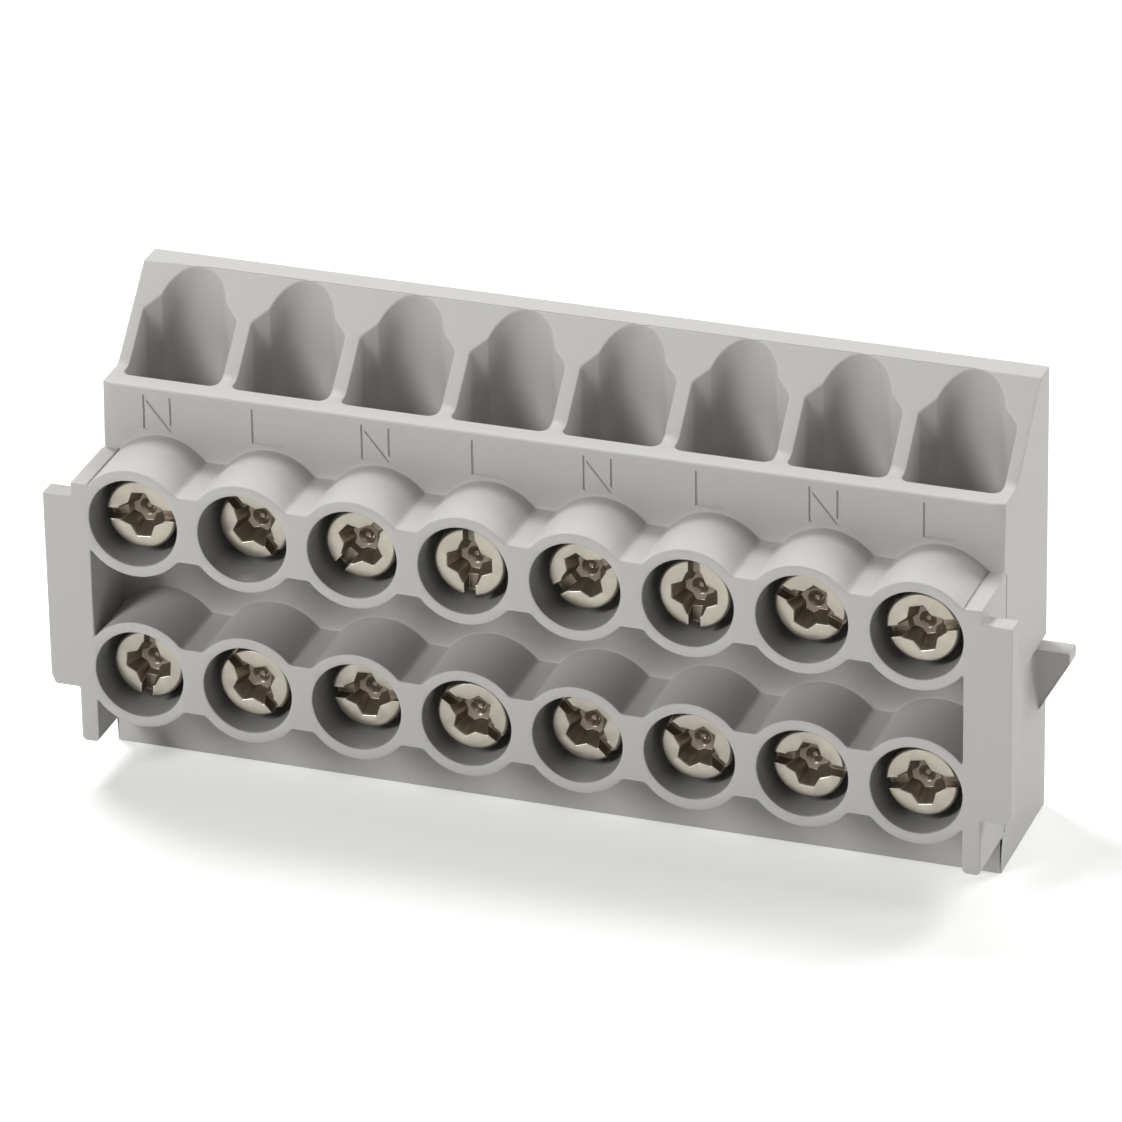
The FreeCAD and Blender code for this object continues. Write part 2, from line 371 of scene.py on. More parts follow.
@dataclass(frozen=True)
class PlasticFinish:
    """Light grey moulded plastic with a fine grain, smoother in the bores, with painted shade on
    the bore walls.
    """

    colour: Colour = (0.51, 0.50, 0.48)
    # Darker colour for the bore walls: painted shade inside the bores.
    bore_painted_shade: Colour = (0.35, 0.347, 0.338)
    roughness: float = 0.55
    bore_roughness: float = 0.30
    grain_scale: float = 2600.0
    cloud_scale: float = 45.0
    grain: float = 0.05
    cloud: float = 0.03
    bump: float = 0.12
    bump_distance: float = 0.02

    def material(self, grain: bpy.types.NodeTree, bores: bpy.types.NodeTree) -> bpy.types.Material:
        """Builds the material.

        Args:
            grain: The fine_grain group.
            bores: The bore_mask group.

        Returns:
            The material.
        """
        made, graph, shader, place = new_material("moulded_plastic")
        tone = add_grain(graph, grain, place, self)
        mask = graph.add("ShaderNodeGroup", {"Place": place}, node_tree=bores).outputs["Mask"]
        # The bore walls take the darker colour: painted shade in the bores.
        base = graph.mix(mask, (*self.colour, 1.0), (*self.bore_painted_shade, 1.0))
        graph.feed(shader.inputs["Base Color"], toned(graph, base, tone.outputs["Tone"]))
        graph.feed(shader.inputs["Roughness"],
                   graph.blend(mask, self.roughness, self.bore_roughness))
        graph.feed(shader.inputs["Normal"],
                   graph.bump(tone.outputs["Height"], self.bump, self.bump_distance))
        return made


@dataclass(frozen=True)
class MetalFinish:
    """Plated or plain metal with a fine grain and faint clouds."""

    name: str
    colour: Colour
    roughness: float
    grain_scale: float = 900.0
    cloud_scale: float = 220.0
    grain: float = 0.08
    cloud: float = 0.10
    bump: float = 0.10
    bump_distance: float = 0.01

    def material(self, grain: bpy.types.NodeTree) -> bpy.types.Material:
        """Builds the material.

        Args:
            grain: The fine_grain group.

        Returns:
            The material.
        """
        made, graph, shader, place = new_material(self.name)
        tone = add_grain(graph, grain, place, self)
        graph.feed(shader.inputs["Base Color"],
                   toned(graph, (*self.colour, 1.0), tone.outputs["Tone"]))
        shader.inputs["Metallic"].default_value = 1.0
        graph.feed(shader.inputs["Roughness"],
                   graph.math("MULTIPLY", tone.outputs["Tone"], self.roughness))
        graph.feed(shader.inputs["Normal"],
                   graph.bump(tone.outputs["Height"], self.bump, self.bump_distance))
        return made


@dataclass(frozen=True)
class ScrewFinish:
    """Warm nickel plating with faint turned rings, with painted shade darkening the driving recess.
    """

    colour: Colour = (0.40, 0.37, 0.31)
    # Darker colour in the driving recess: painted shade.
    recess_painted_shade: Colour = (0.20, 0.168, 0.13)
    roughness: float = 0.34
    recess_roughness: float = 0.30
    pit_roughness: float = 0.13
    recess_metallic: float = 0.7
    grain_scale: float = 900.0
    cloud_scale: float = 420.0
    grain: float = 0.20
    cloud: float = 0.40
    bump: float = 0.10
    bump_distance: float = 0.01
    ring_height: float = 0.3

    def material(self, grain: bpy.types.NodeTree, zones: bpy.types.NodeTree) -> bpy.types.Material:
        """Builds the material.

        Args:
            grain: The fine_grain group.
            zones: The screw_zones group.

        Returns:
            The material.
        """
        made, graph, shader, place = new_material("nickel_plate")
        own = graph.add("ShaderNodeAttribute", attribute_name=OWN_PLACE).outputs["Vector"]
        tone = add_grain(graph, grain, place, self)
        zone = graph.add("ShaderNodeGroup", {"Place": own}, node_tree=zones)
        recess = zone.outputs["Recess"]
        # The recess takes the darker colour: painted shade in the driving recess.
        base = graph.mix(recess, (*self.colour, 1.0), (*self.recess_painted_shade, 1.0))
        graph.feed(shader.inputs["Base Color"], toned(graph, base, tone.outputs["Tone"]))
        graph.feed(shader.inputs["Metallic"], graph.blend(recess, 1.0, self.recess_metallic))
        rough = graph.blend(recess, self.roughness, self.recess_roughness)
        graph.feed(shader.inputs["Roughness"],
                   graph.blend(zone.outputs["Pit"], rough, self.pit_roughness))
        height = graph.math("MULTIPLY_ADD", zone.outputs["Rings"], self.ring_height,
                            tone.outputs["Height"])
        graph.feed(shader.inputs["Normal"], graph.bump(height, self.bump, self.bump_distance))
        return made


Finish = Union[PlasticFinish, MetalFinish, ScrewFinish]
TERMINAL_FINISH = MetalFinish("nickel_plated_brass", (0.60, 0.585, 0.55), 0.36)
PLATE_FINISH = MetalFinish("zinc_plate", (0.66, 0.66, 0.65), 0.38)


def new_material(name: str) -> tuple[bpy.types.Material, Graph, bpy.types.Node,
                                     bpy.types.NodeSocket]:
    """Starts a material.

    Args:
        name: Its name.

    Returns:
        The material, its graph, its Principled BSDF and the Object coordinates.
    """
    made = bpy.data.materials.new(name)
    made.use_nodes = True
    graph = Graph(made.node_tree)
    shader = made.node_tree.nodes["Principled BSDF"]
    place = graph.add("ShaderNodeTexCoord").outputs["Object"]
    return made, graph, shader, place


def add_grain(graph: Graph, tree: bpy.types.NodeTree, place: bpy.types.NodeSocket,
              finish: Finish) -> bpy.types.Node:
    """Adds the fine_grain group with a finish's own values.

    Args:
        graph: The material's graph.
        tree: The fine_grain group.
        place: The coordinates.
        finish: The finish.

    Returns:
        The group's node.
    """
    values = {"Place": place, "Grain Scale": finish.grain_scale,
              "Cloud Scale": finish.cloud_scale, "Grain": finish.grain, "Cloud": finish.cloud}
    return graph.add("ShaderNodeGroup", values, node_tree=tree)


def toned(graph: Graph, colour: Link, tone: bpy.types.NodeSocket) -> bpy.types.NodeSocket:
    """Multiplies a colour by a tone.

    Args:
        graph: The material's graph.
        colour: A colour or its socket.
        tone: The tone.

    Returns:
        The toned colour.
    """
    scaled = graph.add("ShaderNodeVectorMath", operation="SCALE")
    graph.feed(scaled.inputs[0], colour if isinstance(colour, bpy.types.NodeSocket) else colour[:3])
    graph.feed(scaled.inputs["Scale"], tone)
    return scaled.outputs[0]


def new_object(name: str, mesh: bpy.types.Mesh) -> bpy.types.Object:
    """Links a mesh into the scene as an object at the origin.

    Args:
        name: The object's name.
        mesh: Its mesh.

    Returns:
        The object.
    """
    made = bpy.data.objects.new(name, mesh)
    bpy.context.scene.collection.objects.link(made)
    return made


def drop(piece: bpy.types.Object) -> None:
    """Removes an object that was only a help."""
    bpy.data.objects.remove(piece)


def settle(piece: bpy.types.Object) -> None:
    """Turns what an object's modifiers make into its own plain mesh.

    Args:
        piece: The object.
    """
    bpy.context.view_layer.update()
    depsgraph = bpy.context.evaluated_depsgraph_get()
    mesh = bpy.data.meshes.new_from_object(piece.evaluated_get(depsgraph))
    mesh.name = piece.name
    piece.modifiers.clear()
    piece.data = mesh


def merged_copy(node: str, name: str) -> bpy.types.Object:
    """Copies a CAD node's mesh, with its loose triangles merged into whole faces.

    Args:
        node: The CAD node.
        name: The copy's name.

    Returns:
        The copy.
    """
    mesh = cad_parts[node].data.copy()
    mesh.materials.clear()
    shape = bmesh.new()
    shape.from_mesh(mesh)
    bmesh.ops.remove_doubles(shape, verts=shape.verts, dist=MERGE_DISTANCE * MM)
    bmesh.ops.dissolve_limit(shape, angle_limit=math.radians(FLAT_ANGLE), verts=shape.verts,
                             edges=shape.edges)
    bmesh.ops.recalc_face_normals(shape, faces=shape.faces)
    shape.to_mesh(mesh)
    shape.free()
    for attribute in ("custom_normal", "sharp_edge", "sharp_face"):
        if attribute in mesh.attributes:
            mesh.attributes.remove(mesh.attributes[attribute])
    return new_object(name, mesh)


def soften(piece: bpy.types.Object, width: float, segments: int, angle: float = BEVEL_ANGLE,
           share: Optional[Callable[[Vector, bool], float]] = None) -> None:
    """Rounds the sharp edges of a piece.

    Args:
        piece: The piece.
        width: The bevel's largest width.
        segments: Faces across the bevel.
        angle: Sharpest angle that stays as it is, in degrees.
        share: Gives each edge's share of the width from its middle and whether it is convex.
    """
    shape = bmesh.new()
    shape.from_mesh(piece.data)
    bmesh.ops.triangulate(shape, faces=[
        face for face in shape.faces if len(face.verts) > BEVEL_CORNERS])
    weights = shape.edges.layers.float.new("bevel_weight_edge")
    for edge in shape.edges:
        if edge.is_manifold and edge.calc_face_angle(0.0) > math.radians(angle):
            middle = (edge.verts[0].co + edge.verts[1].co) / 2 / MM
            edge[weights] = share(middle, edge.is_convex) if share else 1.0
    shape.to_mesh(piece.data)
    shape.free()
    bevel = piece.modifiers.new("rounded_edges", "BEVEL")
    bevel.width = width * MM
    bevel.segments = segments
    bevel.limit_method = "WEIGHT"
    bevel.use_clamp_overlap = False
    bevel.loop_slide = False
    settle(piece)


def keep_inside(piece: bpy.types.Object, low: Vector, high: Vector) -> None:
    """Moves points that a rounded edge pushed out of a box back onto it.

    Args:
        piece: The piece.
        low: The box's lowest corner, in metres.
        high: The box's highest corner, in metres.
    """
    for vertex in piece.data.vertices:
        for axis in range(3):
            vertex.co[axis] = min(max(vertex.co[axis], low[axis]), high[axis])


def shade(piece: bpy.types.Object) -> None:
    """Shades a piece smoothly over its rounded edges, with its flats kept flat.

    Args:
        piece: The piece.
    """
    piece.data.shade_smooth()
    piece.data.set_sharp_from_angle(angle=math.radians(SMOOTH_ANGLE))
    weighted = piece.modifiers.new("even_normals", "WEIGHTED_NORMAL")
    weighted.keep_sharp = True
    weighted.weight = FACE_WEIGHT
    settle(piece)


def cut(piece: bpy.types.Object, tool: bpy.types.Object) -> None:
    """Cuts a piece with a closed solid, which is then removed.

    Args:
        piece: The piece.
        tool: The cutting solid.
    """
    change = piece.modifiers.new("cut", "BOOLEAN")
    change.operation = "DIFFERENCE"
    change.solver = "EXACT"
    change.object = tool
    settle(piece)
    drop(tool)


def closed_solid(name: str, points: list[Point],
                 faces: list[tuple[int, ...]]) -> bpy.types.Object:
    """A closed solid with its faces turned outwards.

    Args:
        name: The object's name.
        points: Its points, in millimetres.
        faces: Its faces, as numbers of points.

    Returns:
        The solid.
    """
    mesh = bpy.data.meshes.new(name)
    mesh.from_pydata([Vector(p) * MM for p in points], [], faces)
    shape = bmesh.new()
    shape.from_mesh(mesh)
    bmesh.ops.recalc_face_normals(shape, faces=shape.faces)
    shape.to_mesh(mesh)
    shape.free()
    return new_object(name, mesh)


def solid_between(name: str, lower: list[Point], upper: list[Point]) -> bpy.types.Object:
    """A closed solid between two outlines with as many points.

    Args:
        name: The object's name.
        lower: Points of the first outline.
        upper: Points of the second outline.

    Returns:
        The solid.
    """
    count = len(lower)
    sides = [(k, (k + 1) % count, count + (k + 1) % count, count + k) for k in range(count)]
    caps = [tuple(range(count))[::-1], tuple(range(count, 2 * count))]
    return closed_solid(name, lower + upper, sides + caps)


def inset(outline: Outline, gap: float) -> Outline:
    """Moves an outline that runs anticlockwise inwards by a gap.

    Args:
        outline: Its corners.
        gap: The distance, negative for outwards.

    Returns:
        The moved corners.
    """
    moved = []
    for k, corner in enumerate(outline):
        here = Vector(corner)
        before = (here - Vector(outline[k - 1])).normalized()
        after = (Vector(outline[(k + 1) % len(outline)]) - here).normalized()
        one, other = Vector((-before.y, before.x)), Vector((-after.y, after.x))
        made = here + (one + other) * (gap / (1 + one.dot(other)))
        moved.append((made.x, made.y))
    return moved


def turned_solid(name: str, profile: Outline, steps: int) -> bpy.types.Object:
    """A closed solid turned about Y.

    Args:
        name: The object's name.
        profile: Radius and y of each point, with a radius of 0 at both ends.
        steps: Faces round the axis.

    Returns:
        The solid.
    """
    points: list[Point] = [(0.0, profile[0][1], 0.0)]
    faces: list[tuple[int, ...]] = []
    for radius, y in profile[1:-1]:
        for step in range(steps):
            turn = math.tau * step / steps
            points.append((radius * math.cos(turn), y, radius * math.sin(turn)))
    points.append((0.0, profile[-1][1], 0.0))
    rings = len(profile) - 2
    last = len(points) - 1
    for step in range(steps):
        after = (step + 1) % steps
        faces.append((0, 1 + step, 1 + after))
        faces.append((last, 1 + (rings - 1) * steps + after, 1 + (rings - 1) * steps + step))
        for ring in range(rings - 1):
            near = 1 + ring * steps
            far = near + steps
            faces.append((near + step, far + step, far + after, near + after))
    return closed_solid(name, points, faces)


def run_tree(piece: bpy.types.Object, tree: bpy.types.NodeTree, values: dict[str, Any]) -> None:
    """Runs a geometry tree on a piece and keeps the result as its plain mesh.

    Args:
        piece: The piece.
        tree: The tree.
        values: Input values by name.
    """
    modifier = piece.modifiers.new(tree.name, "NODES")
    modifier.node_group = tree
    for item in tree.interface.items_tree:
        if item.in_out == "INPUT" and item.name in values:
            modifier[item.identifier] = values[item.name]
    settle(piece)


def finish_piece(piece: bpy.types.Object, body: str, nodes: Iterable[str]) -> None:
    """Lets a piece ride on its body in place of its CAD nodes.

    Args:
        piece: The piece.
        body: The body's name.
        nodes: The CAD nodes that it stands for.
    """
    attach(piece, body)
    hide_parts(*nodes)
    LOG.info("%s: %d faces", piece.name, len(piece.data.polygons))


@dataclass
class Housing:
    """The moulded housing with its rounded edges and its engraved pole marks."""

    layout: Layout
    edge: float = 0.3
    segments: int = 2
    outer_share: float = 0.5
    inner_share: float = 0.9
    rim_share: float = 0.9
    bore_radius: float = 4.4
    face_y: float = -3.25
    mark_foot: float = 34.0
    mark_height: float = 3.6
    mark_width: float = 3.1
    mark_shift: float = -0.3
    stroke: float = 0.40
    mark_depth: float = 0.18
    mark_floor: float = 0.22
    mark_lead: float = 0.05
    slack: float = 0.1
    hair: float = 0.01
    side_margin: float = 1.0

    def mark_outline(self, mark: Mark) -> Outline:
        """Outline of a letter, from its lower left corner.

        Args:
            mark: The letter.

        Returns:
            Its corners.
        """
        width, height, line = self.mark_width, self.mark_height, self.stroke
        if mark is Mark.LINE:
            return [(0, 0), (width, 0), (width, line), (line, line), (line, height), (0, height)]
        lean = math.atan2(height, width - 2 * line)
        slant = line / math.cos(lean)
        return [(0, 0), (line, 0), (line, height - slant), (width - line, 0), (width, 0),
                (width, height), (width - line, height), (width - line, slant), (line, height),
                (0, height)]

    def engrave(self, piece: bpy.types.Object) -> None:
        """Cuts the pole marks into the face above the towers.

        Args:
            piece: The housing.
        """
        tools = []
        slope = (self.stroke - self.mark_floor) / 2 / self.mark_depth
        for pole in range(self.layout.poles):
            mark = Mark.LINE if pole % 2 else Mark.NEUTRAL
            left = self.layout.pole_x(pole) + self.mark_shift - self.mark_width / 2
            outline = [(left + x, self.mark_foot + z) for x, z in self.mark_outline(mark)]
            front = [(x, self.face_y - self.mark_lead, z)
                     for x, z in inset(outline, -self.mark_lead * slope)]
            back = [(x, self.face_y + self.mark_depth, z)
                    for x, z in inset(outline, self.mark_depth * slope)]
            tools.append(solid_between("mark_%d" % pole, front, back))
        joined = bmesh.new()
        for tool in tools:
            joined.from_mesh(tool.data)
            drop(tool)
        mesh = bpy.data.meshes.new("marks")
        joined.to_mesh(mesh)
        joined.free()
        cut(piece, new_object("marks", mesh))

    def edge_share(self, middle: Vector, is_convex: bool) -> float:
        """How much of the full rounding an edge gets.

        Args:
            middle: The edge's middle, in millimetres.
            is_convex: Whether the edge points outwards.

        Returns:
            Its share, from 0 to 1.
        """
        mark_top = self.mark_foot + self.mark_height
        in_face = self.face_y - self.hair < middle.y < self.face_y + self.mark_depth + self.hair
        in_height = self.mark_foot - self.slack < middle.z < mark_top + self.slack
        if in_face and in_height and abs(middle.x) < self.layout.end_x() - self.side_margin:
            return 0.0
        if middle.y < self.layout.front_y + self.hair and is_convex:
            for row in Row:
                for pole in range(self.layout.poles):
                    away = math.hypot(middle.x - self.layout.pole_x(pole),
                                      middle.z - self.layout.row_z(row))
                    if away < self.bore_radius + self.slack:
                        return self.rim_share
        return self.outer_share if is_convex else self.inner_share

    def build(self, material: bpy.types.Material) -> None:
        """Builds the housing.

        Args:
            material: The plastic.
        """
        piece = merged_copy("housing", "moulded_housing")
        self.engrave(piece)
        soften(piece, self.edge, self.segments, share=self.edge_share)
        keep_inside(piece, *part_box("housing"))
        shade(piece)
        piece.data.materials.clear()
        piece.data.materials.append(material)
        finish_piece(piece, "block", ["housing"])


@dataclass
class ClampScrews:
    """Sixteen cheese-head screws with a combined slot and cross recess and a real thread."""

    layout: Layout
    upper_turns: tuple[float, ...] = (5, -50, 50, 90, 35, 90, -25, 15)
    lower_turns: tuple[float, ...] = (85, -50, 5, -35, -45, -35, -5, 10)
    head_radius: float = 3.5
    head_height: float = 2.7
    rim: float = 0.3
    rim_steps: int = 4
    under_edge: float = 0.1
    facets: int = 72
    overreach: float = 0.5
    slot_width: float = 1.15
    slot_depth: float = 1.25
    slot_draft: float = 0.86
    arm_reach: float = 2.25
    arm_tip: float = 0.70
    arm_root: float = 1.18
    arm_depth: float = 1.9
    floor_share: float = 0.62
    pit_radius: float = 0.85
    pit_tip: float = 0.55
    pit_flare: float = 1.5
    pit_steps: int = 6
    pit_facets: int = 32
    edge: float = 0.07
    edge_segments: int = 2
    edge_angle: float = 28.0
    thread_radius: float = 1.98
    core_radius: float = 1.6
    core_facets: int = 32
    thread_pitch: float = 0.7
    thread_steps: int = 24
    ridge_corners: int = 3
    ridge_share: float = 0.5
    plain_share: float = 0.8
    tree: bpy.types.NodeTree = field(init=False)

    def __post_init__(self) -> None:
        """Builds the geometry tree once."""
        self.tree = self.screw_tree()

    def star(self, y: float, share: float) -> list[Point]:
        """Outline of the cross with its arms tapering outwards.

        Args:
            y: Its height along the screw.
            share: Its size, 1 at the head's face.

        Returns:
            The outline's points.
        """
        reach, tip, root = self.arm_reach * share, self.arm_tip * share, self.arm_root * share
        arm = [(reach, -tip), (reach, tip), (root, root)]
        points = []
        for quarter in range(4):
            angle = quarter * math.pi / 2
            for x, z in arm:
                points.append((x * math.cos(angle) - z * math.sin(angle), y,
                               x * math.sin(angle) + z * math.cos(angle)))
        return points

    def head(self) -> bpy.types.Object:
        """The head with its driving recess, its face at y = 0.

        Returns:
            The head.
        """
        radius, rim, height = self.head_radius, self.rim, self.head_height
        profile = [(0.0, 0.0), (radius - rim, 0.0)]
        for step in range(1, self.rim_steps + 1):
            turn = math.pi / 2 * step / self.rim_steps
            profile.append((radius - rim + rim * math.sin(turn), rim - rim * math.cos(turn)))
        profile += [(radius, height - self.under_edge), (radius - self.under_edge, height),
                    (self.core_radius, height), (0.0, height)]
        piece = turned_solid("screw_head", profile, self.facets)
        half = self.slot_width / 2
        reach = radius + self.overreach
        plan = [(-reach, -half), (reach, -half), (reach, half), (-reach, half)]
        top = [(x, -self.overreach, z) for x, z in plan]
        floor = [(x, self.slot_depth, z * self.slot_draft) for x, z in plan]
        cut(piece, solid_between("slot", top, floor))
        slope = (1 - self.floor_share) / self.arm_depth
        mouth = self.star(-self.overreach, 1 + self.overreach * slope)
        cut(piece, solid_between("cross", mouth, self.star(self.arm_depth, self.floor_share)))
        cut(piece, turned_solid("pit", self.pit_profile(), self.pit_facets))
        soften(piece, self.edge, self.edge_segments, self.edge_angle)
        return piece

    def pit_profile(self) -> Outline:
        """Profile of the pit under the cross: a cone of 45 degrees with a rounded tip.

        Returns:
            Radius and y of its points.
        """
        profile = [(0.0, -self.overreach), (self.pit_radius * self.pit_flare, -self.overreach),
                   (self.pit_radius, self.arm_depth)]
        centre = self.arm_depth + self.pit_radius - 2 * (self.pit_tip / math.sqrt(2))
        for step in range(self.pit_steps):
            turn = math.pi / 4 * (1 - step / self.pit_steps)
            profile.append((self.pit_tip * math.sin(turn), centre + self.pit_tip * math.cos(turn)))
        profile.append((0.0, centre + self.pit_tip))
        return profile

    def screw_tree(self) -> bpy.types.NodeTree:
        """The tree that puts a threaded shank under a head and sets the screw in its place.

        Returns:
            The geometry tree.
        """
        graph, given, made = new_group(
            "clamp_screw", "GeometryNodeTree",
            {"Geometry": GEOMETRY, "Head Height": FLOAT, "Length": FLOAT, "Thread Pitch": FLOAT,
             "Thread Radius": FLOAT, "Core Radius": FLOAT, "Slot Turn": FLOAT, "Place": VECTOR,
             "Finish": MATERIAL},
            {"Geometry": GEOMETRY})
        shank = graph.math("SUBTRACT", given.outputs["Length"], given.outputs["Head Height"])
        tip = graph.math("MULTIPLY", given.outputs["Thread Pitch"], self.plain_share)
        threaded = graph.math("SUBTRACT", shank, graph.math("MULTIPLY", tip, 2.0))
        turns = graph.math("DIVIDE", threaded, given.outputs["Thread Pitch"])
        ridge = graph.math("MULTIPLY", given.outputs["Thread Pitch"], self.ridge_share)
        middle = graph.math("SUBTRACT", given.outputs["Thread Radius"], ridge)
        spiral = graph.add("GeometryNodeCurveSpiral", {
            "Resolution": self.thread_steps, "Rotations": turns, "Start Radius": middle,
            "End Radius": middle, "Height": threaded})
        upright = graph.add("GeometryNodeSetCurveNormal", {"Curve": spiral.outputs[0]})
        upright.mode = "Z_UP"
        outline = graph.add("GeometryNodeCurvePrimitiveCircle", {
            "Resolution": self.ridge_corners, "Radius": ridge})
        swept = graph.add("GeometryNodeCurveToMesh", {
            "Curve": upright.outputs[0], "Profile Curve": outline.outputs[0], "Fill Caps": True})
        start = graph.add("ShaderNodeCombineXYZ", {"Z": tip})
        raised = graph.add("GeometryNodeTransform", {
            "Geometry": swept.outputs[0], "Translation": start.outputs[0]})
        core = graph.add("GeometryNodeMeshCylinder", {
            "Vertices": self.core_facets, "Radius": given.outputs["Core Radius"], "Depth": shank})
        half = graph.add("ShaderNodeCombineXYZ", {"Z": graph.math("MULTIPLY", shank, 0.5)})
        centred = graph.add("GeometryNodeTransform", {
            "Geometry": core.outputs[0], "Translation": half.outputs[0]})
        shank_parts = graph.add("GeometryNodeJoinGeometry",
                                {0: [raised.outputs[0], centred.outputs[0]]})
        under = graph.add("ShaderNodeCombineXYZ", {"Y": given.outputs["Head Height"]})
        laid = graph.add("GeometryNodeTransform", {
            "Geometry": shank_parts.outputs[0], "Translation": under.outputs[0],
            "Rotation": (-math.pi / 2, 0.0, 0.0)})
        whole = graph.add("GeometryNodeJoinGeometry", {
            0: [given.outputs["Geometry"], laid.outputs[0]]})
        kept = graph.add("GeometryNodeStoreNamedAttribute",
                         {"Geometry": whole.outputs[0], "Name": OWN_PLACE},
                         data_type="FLOAT_VECTOR", domain="POINT")
        graph.feed(kept.inputs["Value"], graph.add("GeometryNodeInputPosition").outputs[0])
        turn = graph.add("ShaderNodeCombineXYZ", {
            "Y": graph.math("MULTIPLY", given.outputs["Slot Turn"], -1.0)})
        placed = graph.add("GeometryNodeTransform", {
            "Geometry": kept.outputs[0], "Translation": given.outputs["Place"],
            "Rotation": turn.outputs[0]})
        real = graph.add("GeometryNodeRealizeInstances", {"Geometry": placed.outputs[0]})
        dressed = graph.add("GeometryNodeSetMaterial", {"Geometry": real.outputs[0],
                                                        "Material": given.outputs["Finish"]})
        graph.feed(made.inputs["Geometry"], dressed.outputs[0])
        return graph.tree

    def build(self, material: bpy.types.Material) -> None:
        """Builds the sixteen screws, each on its own body.

        Args:
            material: The nickel plating.
        """
        head = self.head()
        for row, turns in ((Row.UPPER, self.upper_turns), (Row.LOWER, self.lower_turns)):
            for pole in range(self.layout.poles):
                node = "%s_screw_%d" % (row.value, pole + 1)
                low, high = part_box(node)
                face = Vector((self.layout.pole_x(pole) * MM, low.y, self.layout.row_z(row) * MM))
                piece = new_object("%s_clamp_screw_%d" % (row.value, pole + 1), head.data.copy())
                run_tree(piece, self.tree, {
                    "Head Height": self.head_height * MM, "Length": high.y - low.y,
                    "Thread Pitch": self.thread_pitch * MM,
                    "Thread Radius": self.thread_radius * MM, "Core Radius": self.core_radius * MM,
                    "Slot Turn": math.radians(turns[pole]), "Place": face, "Finish": material})
                shade(piece)
                finish_piece(piece, node, [node])
        drop(head)


@dataclass
class BrassTerminals:
    """Eight nickel-plated brass terminals, repeated from the first along the block."""

    layout: Layout
    edge: float = 0.12
    segments: int = 2

    def row_tree(self) -> bpy.types.NodeTree:
        """The tree that repeats a piece at the poles' pitch.

        Returns:
            The geometry tree.
        """
        graph, given, made = new_group(
            "pole_row", "GeometryNodeTree",
            {"Geometry": GEOMETRY, "Count": "NodeSocketInt", "Pitch": FLOAT,
             "Finish": MATERIAL},
            {"Geometry": GEOMETRY})
        step = graph.add("ShaderNodeCombineXYZ", {"X": given.outputs["Pitch"]})
        line = graph.add("GeometryNodeMeshLine", {"Count": given.outputs["Count"],
                                                  "Offset": step.outputs[0]})
        copies = graph.add("GeometryNodeInstanceOnPoints", {
            "Points": line.outputs[0], "Instance": given.outputs["Geometry"]})
        real = graph.add("GeometryNodeRealizeInstances", {"Geometry": copies.outputs[0]})
        dressed = graph.add("GeometryNodeSetMaterial", {"Geometry": real.outputs[0],
                                                        "Material": given.outputs["Finish"]})
        graph.feed(made.inputs["Geometry"], dressed.outputs[0])
        return graph.tree

    def build(self, material: bpy.types.Material) -> None:
        """Builds the terminals.

        Args:
            material: The nickel-plated brass.
        """
        piece = merged_copy("terminal_1", "brass_terminals")
        soften(piece, self.edge, self.segments)
        shade(piece)
        run_tree(piece, self.row_tree(), {"Count": self.layout.poles,
                                          "Pitch": self.layout.pitch * MM, "Finish": material})
        finish_piece(piece, "block",
                     ["terminal_%d" % (pole + 1) for pole in range(self.layout.poles)])


@dataclass
class PressurePlates:
    """Sixteen stamped plates, each pushed by its screw."""

    layout: Layout
    edge: float = 0.1
    segments: int = 2

    def build(self, material: bpy.types.Material) -> None:
        """Builds the plates, each on its own body.

        Args:
            material: The zinc plating.
        """
        for row in Row:
            for pole in range(self.layout.poles):
                node = "%s_plate_%d" % (row.value, pole + 1)
                piece = merged_copy(node, "%s_pressure_plate_%d" % (row.value, pole + 1))
                soften(piece, self.edge, self.segments)
                shade(piece)
                piece.data.materials.append(material)
                finish_piece(piece, node, [node])


@dataclass(frozen=True)
class Lamp:
    """A soft area lamp aimed at the block, with its place and size in metres."""

    name: str
    place: Point
    size: float
    power: float
    colour: Colour = (1.0, 1.0, 1.0)
    aim: Point = (0.0, 0.0, 0.02)

    def build(self) -> None:
        """Adds the lamp."""
        data = bpy.data.lights.new(self.name, "AREA")
        data.shape = "DISK"
        data.size = self.size
        data.energy = self.power
        data.color = self.colour
        made = bpy.data.objects.new(self.name, data)
        bpy.context.scene.collection.objects.link(made)
        made.location = self.place
        away = Vector(self.place) - Vector(self.aim)
        made.rotation_euler = away.to_track_quat("Z", "Y").to_euler()


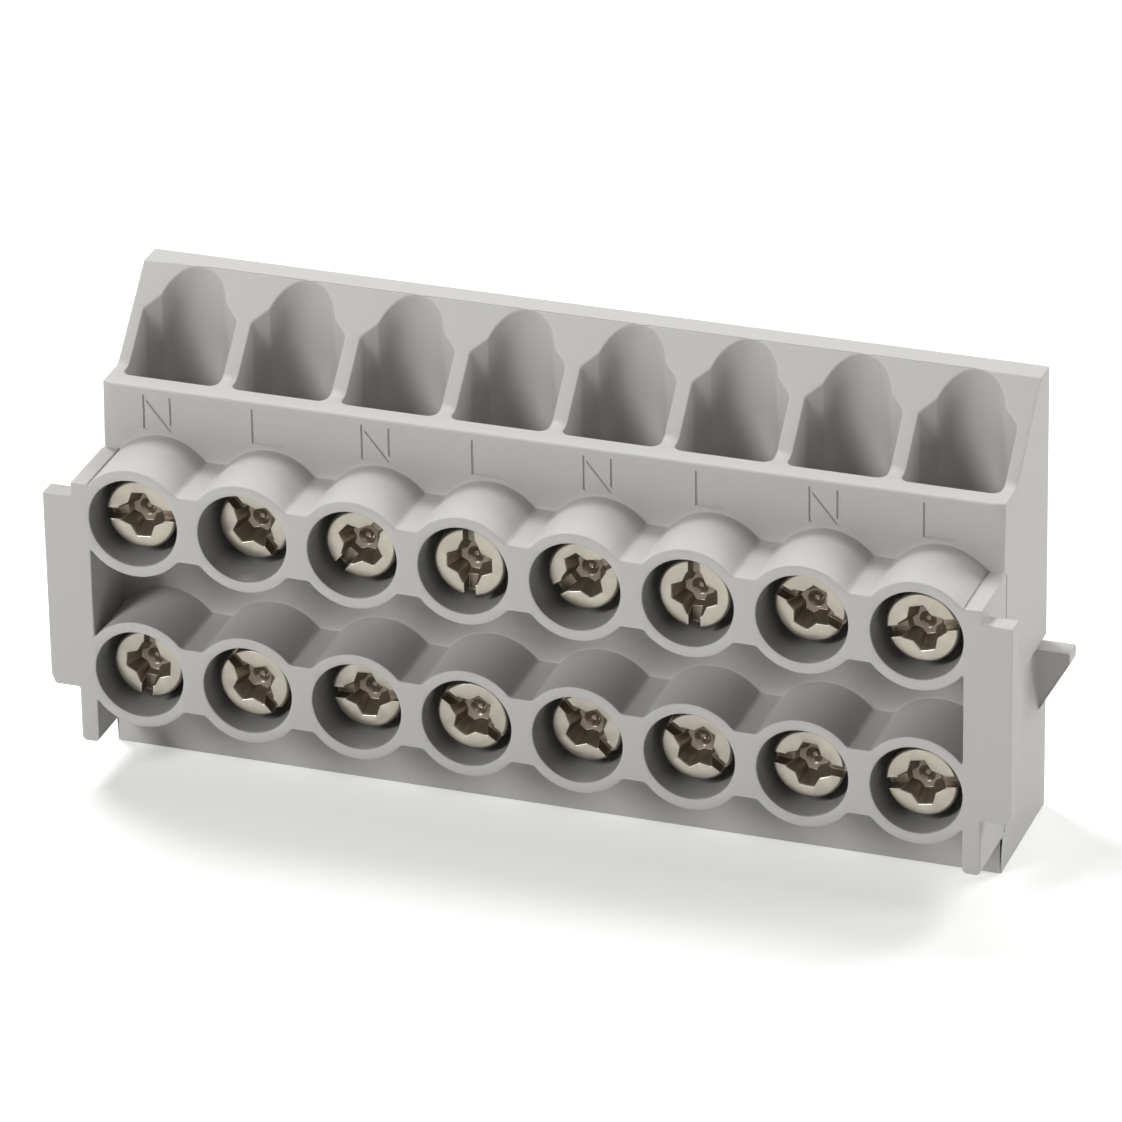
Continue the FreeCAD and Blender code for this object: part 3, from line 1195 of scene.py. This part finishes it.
@dataclass
class Studio:
    """Pale floor, soft light and the camera, with the camera's place in millimetres."""

    lamps: tuple[Lamp, ...] = (
        Lamp("overhead", (-0.55, 0.35, 1.0), 0.35, 7.6),
        Lamp("front_left", (-0.56, -0.77, 0.54), 0.38, 6.6),
        Lamp("right", (0.85, 0.15, 0.62), 0.40, 2.6),
        Lamp("back_right", (0.55, 0.75, 0.70), 0.50, 5.5),
        Lamp("back_top", (0.0, 0.65, 1.0), 0.40, 1.4),
        Lamp("glint", (0.28, -1.2, 0.55), 0.04, 0.3),
    )
    world_strength: float = 0.02
    floor_size: float = 6.0
    floor_colour: Colour = (0.8, 0.8, 0.79)
    floor_roughness: float = 0.9
    floor_glow: float = 0.35
    floor_cloud_scale: float = 40.0
    floor_cloud: float = 0.01
    azimuth: float = 19.68
    elevation: float = 26.75
    roll: float = -1.05
    lens: float = 255.75
    sensor_width: float = 36.0
    clip_start: float = 0.01
    clip_end: float = 20.0
    camera_place: Point = (225.47, -629.84, 361.69)

    def backdrop_rays(self, graph: Graph) -> bpy.types.NodeSocket:
        """1 on camera, glossy and transmission rays, and 0 on the rays that light the object.

        Args:
            graph: The material's graph.

        Returns:
            The mask.
        """
        rays = graph.add("ShaderNodeLightPath")
        seen = graph.math("MAXIMUM", rays.outputs["Is Camera Ray"], rays.outputs["Is Glossy Ray"])
        return graph.math("MAXIMUM", seen, rays.outputs["Is Transmission Ray"])

    def build_world(self) -> None:
        """Sets a white world, plain white where it is seen."""
        world = bpy.data.worlds.new("soft_white")
        bpy.context.scene.world = world
        world.use_nodes = True
        graph = Graph(world.node_tree)
        background = world.node_tree.nodes["Background"]
        background.inputs["Color"].default_value = WHITE
        graph.feed(background.inputs["Strength"],
                   graph.blend(self.backdrop_rays(graph), self.world_strength, 1.0))

    def build_floor(self) -> None:
        """Lays the pale floor, which shows white and keeps the block's shadow."""
        half = self.floor_size / 2
        corners = [(-half, -half, 0.0), (half, -half, 0.0), (half, half, 0.0), (-half, half, 0.0)]
        mesh = bpy.data.meshes.new("floor")
        mesh.from_pydata(corners, [], [(0, 1, 2, 3)])
        floor = new_object("floor", mesh)
        made, graph, shader, place = new_material("pale_floor")
        tone = graph.add("ShaderNodeTexNoise", {"Vector": place, "Scale": self.floor_cloud_scale})
        level = graph.math("MULTIPLY_ADD", tone.outputs["Fac"], self.floor_cloud,
                           1.0 - self.floor_cloud / 2)
        graph.feed(shader.inputs["Base Color"], toned(graph, (*self.floor_colour, 1.0), level))
        shader.inputs["Roughness"].default_value = self.floor_roughness
        shader.inputs["Emission Color"].default_value = WHITE
        glow = graph.math("MULTIPLY", self.backdrop_rays(graph), self.floor_glow)
        graph.feed(shader.inputs["Emission Strength"], glow)
        mesh.materials.append(made)

    def build_camera(self) -> None:
        """Sets the camera at the photograph's viewing angle."""
        around, up, roll = (math.radians(a) for a in (self.azimuth, self.elevation, self.roll))
        ahead = Vector((-math.sin(around) * math.cos(up),
                        math.cos(around) * math.cos(up), -math.sin(up)))
        right = Vector((math.cos(around), math.sin(around), 0.0))
        down = ahead.cross(right)
        picture_x = math.cos(roll) * right - math.sin(roll) * down
        picture_down = math.sin(roll) * right + math.cos(roll) * down
        turn = Matrix((picture_x, -picture_down, -ahead)).transposed()
        data = bpy.data.cameras.new("camera")
        data.lens = self.lens
        data.sensor_width = self.sensor_width
        data.clip_start = self.clip_start
        data.clip_end = self.clip_end
        camera = bpy.data.objects.new("camera", data)
        bpy.context.scene.collection.objects.link(camera)
        camera.matrix_world = Matrix.Translation(Vector(self.camera_place) * MM) @ turn.to_4x4()
        bpy.context.scene.camera = camera

    def build(self) -> None:
        """Builds the studio."""
        self.build_world()
        self.build_floor()
        for lamp in self.lamps:
            lamp.build()
        self.build_camera()
        bpy.context.scene.view_settings.view_transform = "Standard"


def main() -> None:
    """Builds the block's pieces, then the studio."""
    logging.basicConfig(level=logging.INFO, format="%(message)s")
    layout = Layout()
    grain = grain_group()
    Housing(layout).build(PlasticFinish().material(grain, bore_group(layout)))
    ClampScrews(layout).build(ScrewFinish().material(grain, ScrewZones().group()))
    BrassTerminals(layout).build(TERMINAL_FINISH.material(grain))
    PressurePlates(layout).build(PLATE_FINISH.material(grain))
    Studio().build()


if __name__ == "__main__":
    main()
